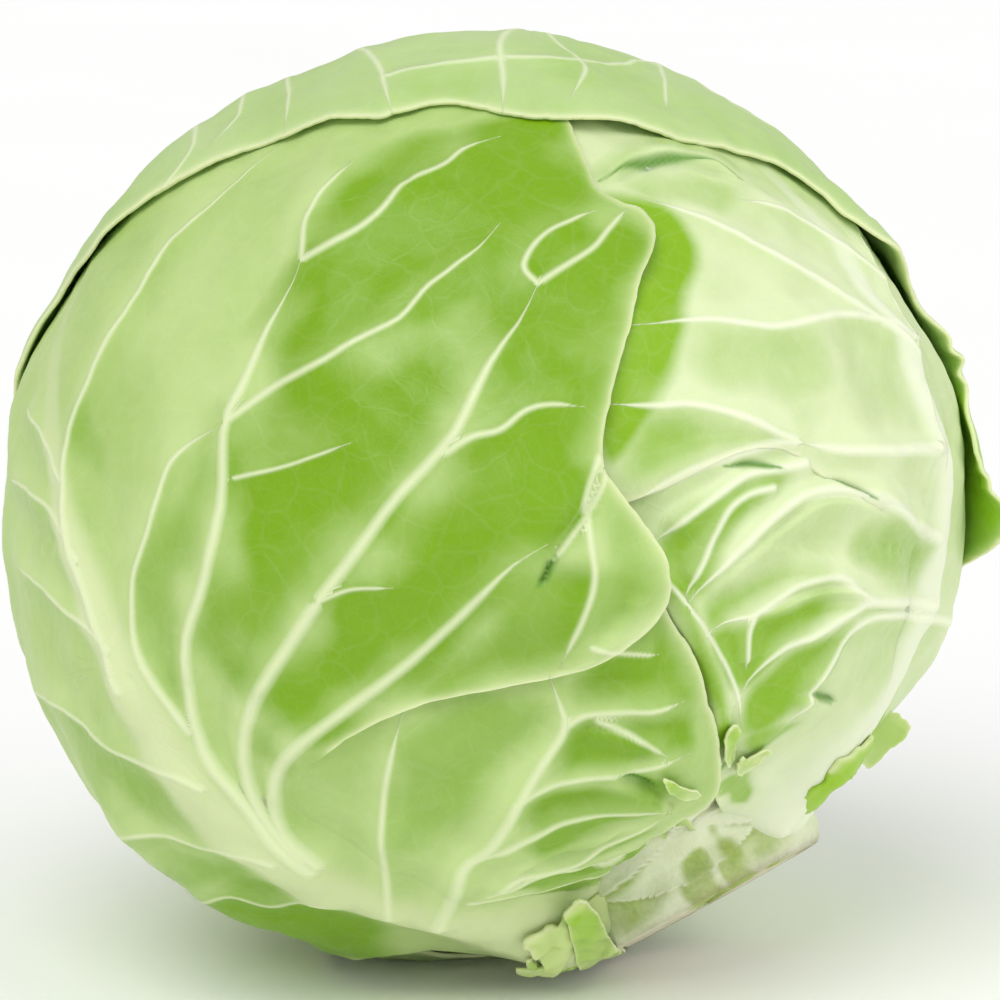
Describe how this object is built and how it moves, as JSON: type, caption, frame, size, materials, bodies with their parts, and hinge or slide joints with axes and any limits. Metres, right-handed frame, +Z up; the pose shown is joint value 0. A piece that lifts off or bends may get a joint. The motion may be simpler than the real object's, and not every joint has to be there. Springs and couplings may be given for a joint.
{
  "type": "cabbage head",
  "caption": "Dense green cabbage head lying on its side, pale ribbed wrapper leaves folded over one another round a packed heart, with a knife-cut stump low on one side.",
  "frame": {"origin": "centre of the bounding box's footprint, on the table under the head", "axes": "+Z up, -Y towards the viewer, +X to the viewer's right; the cut stump points to +X, -Y and down"},
  "size_m": [0.1715, 0.1684, 0.1591],
  "materials": {
    "stump": "dull, moist knife-cut pith",
    "inner_leaves": "satin pale inner leaf",
    "outer_leaf": "waxy satin green leaf with pale ribs",
    "back_leaf": "waxy satin green leaf with pale ribs"
  },
  "bodies": {
    "root": {"stump": "stump", "heart": "inner_leaves", "leaf_front": "outer_leaf", "leaf_under": "back_leaf", "leaf_right": "outer_leaf", "leaf_left": "outer_leaf", "leaf_back": "back_leaf"}
  },
  "joints": []
}
